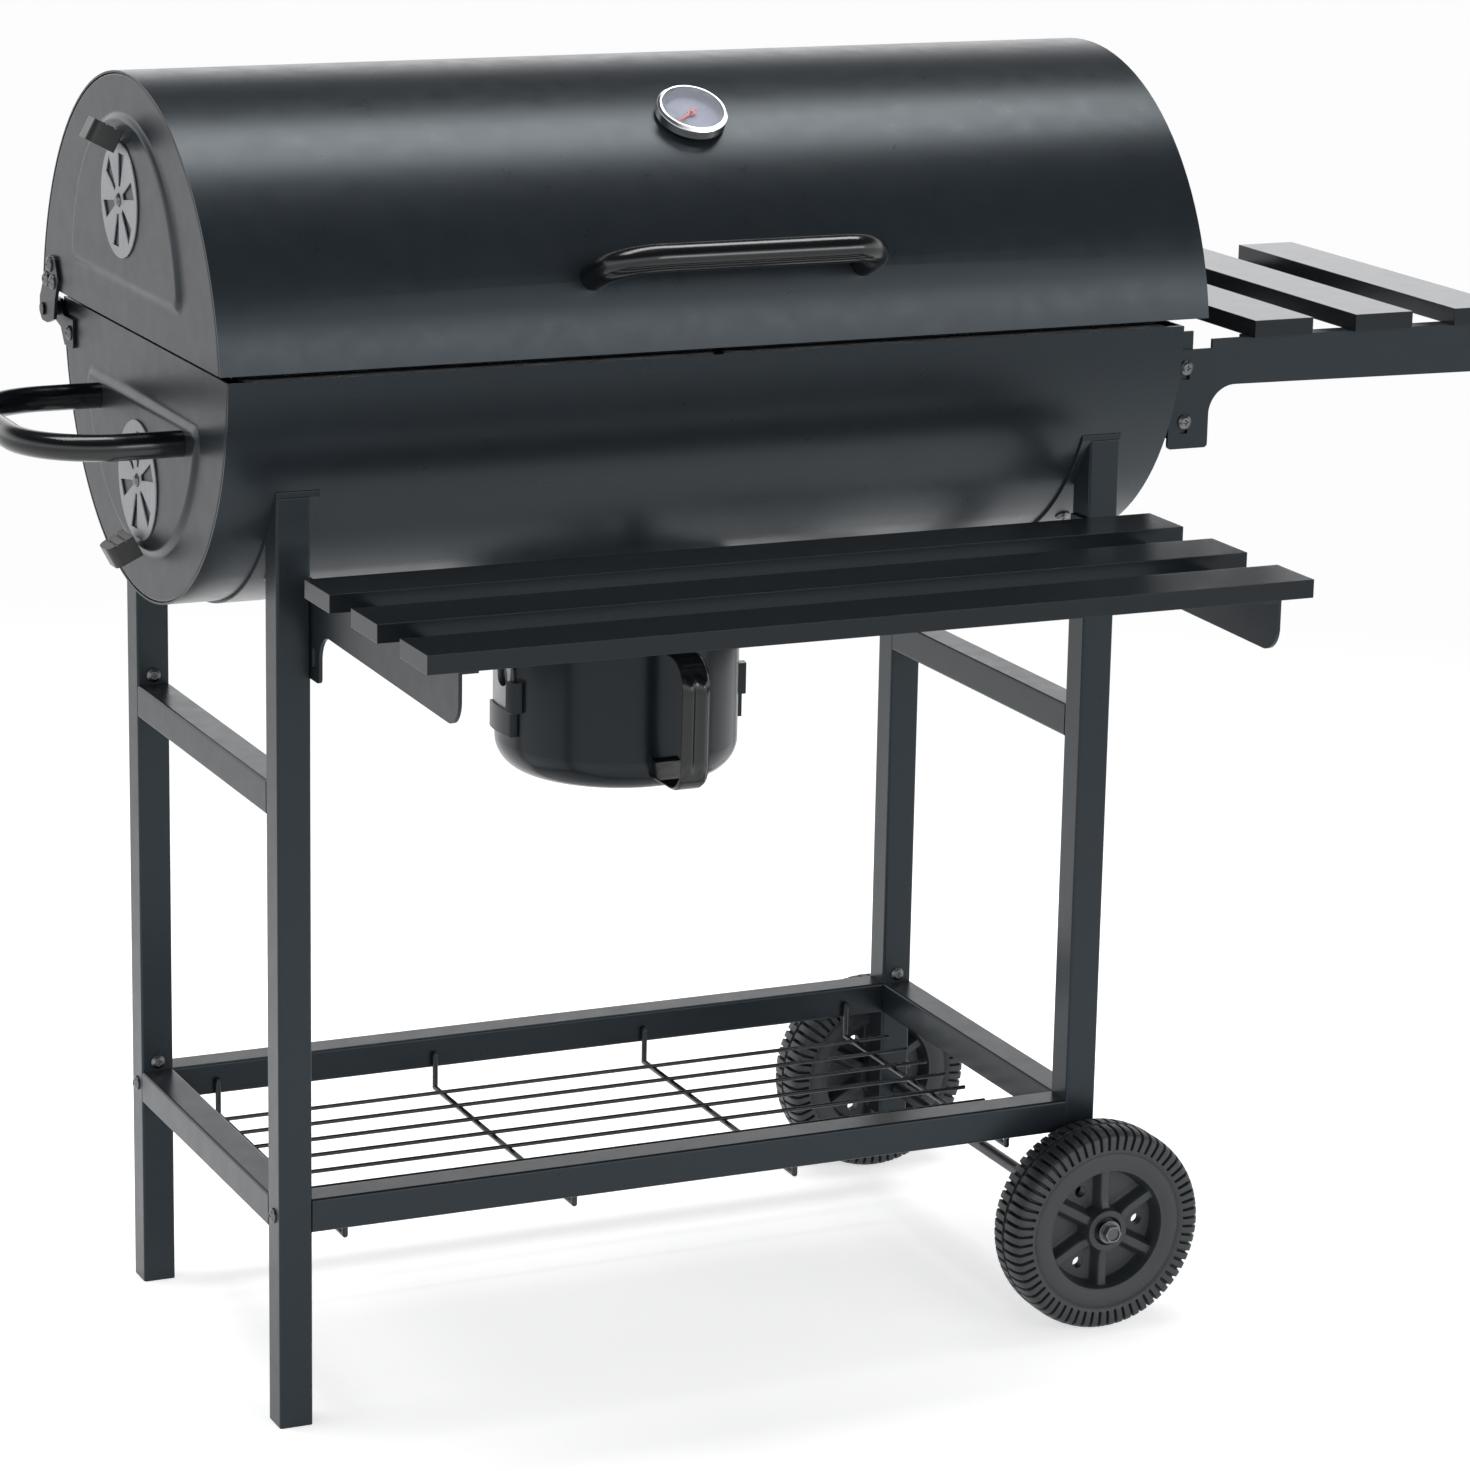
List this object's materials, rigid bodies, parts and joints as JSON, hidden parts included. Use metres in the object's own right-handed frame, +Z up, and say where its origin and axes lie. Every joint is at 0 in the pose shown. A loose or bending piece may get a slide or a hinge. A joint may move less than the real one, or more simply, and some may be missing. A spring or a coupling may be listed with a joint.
{
  "type": "charcoal barrel grill",
  "caption": "Barrel-shaped charcoal grill with a hinged lid on a wheeled tube trolley, with slatted shelves, a wire rack and an ash cup below.",
  "frame": {"origin": "on the ground, midway between the four legs and under the middle of the barrel", "axes": "+X along the barrel towards the side shelf and the wheels, +Y towards the hinges at the back, +Z up"},
  "size_m": [1.1575, 0.6859, 0.96],
  "materials": {
    "frame_paint": "satin black powder coat",
    "strap_paint": "satin black powder coat",
    "tub_paint": "heat-resistant satin black coat",
    "lid_paint": "heat-resistant satin black coat",
    "hinge_steel": "satin black",
    "screw_steel": "dark zinc plate",
    "handle_paint": "gloss black",
    "bezel_chrome": "polished",
    "dial_face": "pale printed dial",
    "dial_glass": "clear",
    "needle_red": "red",
    "vent_steel": "light grey zinc plate",
    "grip_plastic": "gloss black moulded",
    "slat_paint": "satin black powder coat",
    "bracket_paint": "satin black powder coat",
    "wire_paint": "satin black coat",
    "axle_steel": "dark steel",
    "wheel_plastic": "moulded, fine matt",
    "cup_paint": "satin black coat",
    "cup_handle_paint": "satin black coat",
    "clip_steel": "grey zinc plate",
    "grate_chrome": "bright plated",
    "charcoal_grate_iron": "dark bare steel"
  },
  "bodies": {
    "stand": {"ash_collar": "tub_paint", "axle": "axle_steel", "axle_fasteners": "screw_steel", "charcoal_grate": "charcoal_grate_iron", "cooking_grate_left": "grate_chrome", "cooking_grate_right": "grate_chrome", "cradle_strap_left": "strap_paint", "cradle_strap_right": "strap_paint", "cup_clips": "clip_steel", "frame_fasteners": "screw_steel", "front_bracket_left": "bracket_paint", "front_bracket_right": "bracket_paint", "front_slat_back": "slat_paint", "front_slat_front": "slat_paint", "front_slat_middle": "slat_paint", "hinge_bolts": "hinge_steel", "leg_back_left": "frame_paint", "leg_back_right": "frame_paint", "leg_front_left": "frame_paint", "leg_front_right": "frame_paint", "long_rail_back": "frame_paint", "long_rail_front": "frame_paint", "lower_rail_left": "frame_paint", "lower_rail_right": "frame_paint", "push_handle": "handle_paint", "shelf_fasteners": "screw_steel", "side_angles": "bracket_paint", "side_bracket_back": "bracket_paint", "side_bracket_front": "bracket_paint", "side_slat_inner": "slat_paint", "side_slat_middle": "slat_paint", "side_slat_outer": "slat_paint", "tub_end_left": "tub_paint", "tub_end_right": "tub_paint", "tub_fasteners": "screw_steel", "tub_hinge_left": "hinge_steel", "tub_hinge_right": "hinge_steel", "tub_skin": "tub_paint", "upper_rail_left": "frame_paint", "upper_rail_right": "frame_paint", "wire_shelf": "wire_paint"},
    "lid": {"lid_skin": "lid_paint", "lid_end_left": "lid_paint", "lid_end_right": "lid_paint", "lid_handle": "handle_paint", "lid_hinge_left": "hinge_steel", "lid_hinge_right": "hinge_steel", "thermometer_case": "bezel_chrome", "thermometer_dial": "dial_face", "thermometer_glass": "dial_glass", "lid_fasteners": "screw_steel"},
    "lid_vent": {"lid_vent_disc": "vent_steel", "lid_vent_grip": "grip_plastic"},
    "tub_vent": {"tub_vent_disc": "vent_steel", "tub_vent_grip": "grip_plastic"},
    "thermometer_pointer": {"thermometer_needle": "needle_red"},
    "cup": {"ash_cup": "cup_paint", "cup_handle": "cup_handle_paint"},
    "wheel_front": {"front_wheel": "wheel_plastic"},
    "wheel_back": {"back_wheel": "wheel_plastic"}
  },
  "joints": [
    {"name": "lid_open", "type": "hinge", "parent": "stand", "child": "lid", "pos_m": [0, 0.198, 0.761], "axis": [-1, 0, 0], "range_deg": [0, 95]},
    {"name": "lid_vent_turn", "type": "hinge", "parent": "lid", "child": "lid_vent", "pos_m": [-0.385, 0.002, 0.87], "axis": [-1, 0, 0], "range_deg": [0, 30]},
    {"name": "tub_vent_turn", "type": "hinge", "parent": "stand", "child": "tub_vent", "pos_m": [-0.374, 0.002, 0.668], "axis": [-1, 0, 0], "range_deg": [0, 30]},
    {"name": "pointer_turn", "type": "hinge", "parent": "lid", "child": "thermometer_pointer", "pos_m": [0.003, -0.11176, 0.92743], "axis": [0, -0.5373, 0.8434], "range_deg": [-255, 15]},
    {"name": "cup_drop", "type": "slide", "parent": "stand", "child": "cup", "axis": [0, 0, -1], "range_m": [0, 0.06]},
    {"name": "wheel_front_spin", "type": "hinge", "parent": "stand", "child": "wheel_front", "pos_m": [0.32, -0.199, 0.08], "axis": [0, 1, 0], "continuous": true},
    {"name": "wheel_back_spin", "type": "hinge", "parent": "stand", "child": "wheel_back", "pos_m": [0.32, 0.199, 0.08], "axis": [0, 1, 0], "continuous": true}
  ]
}
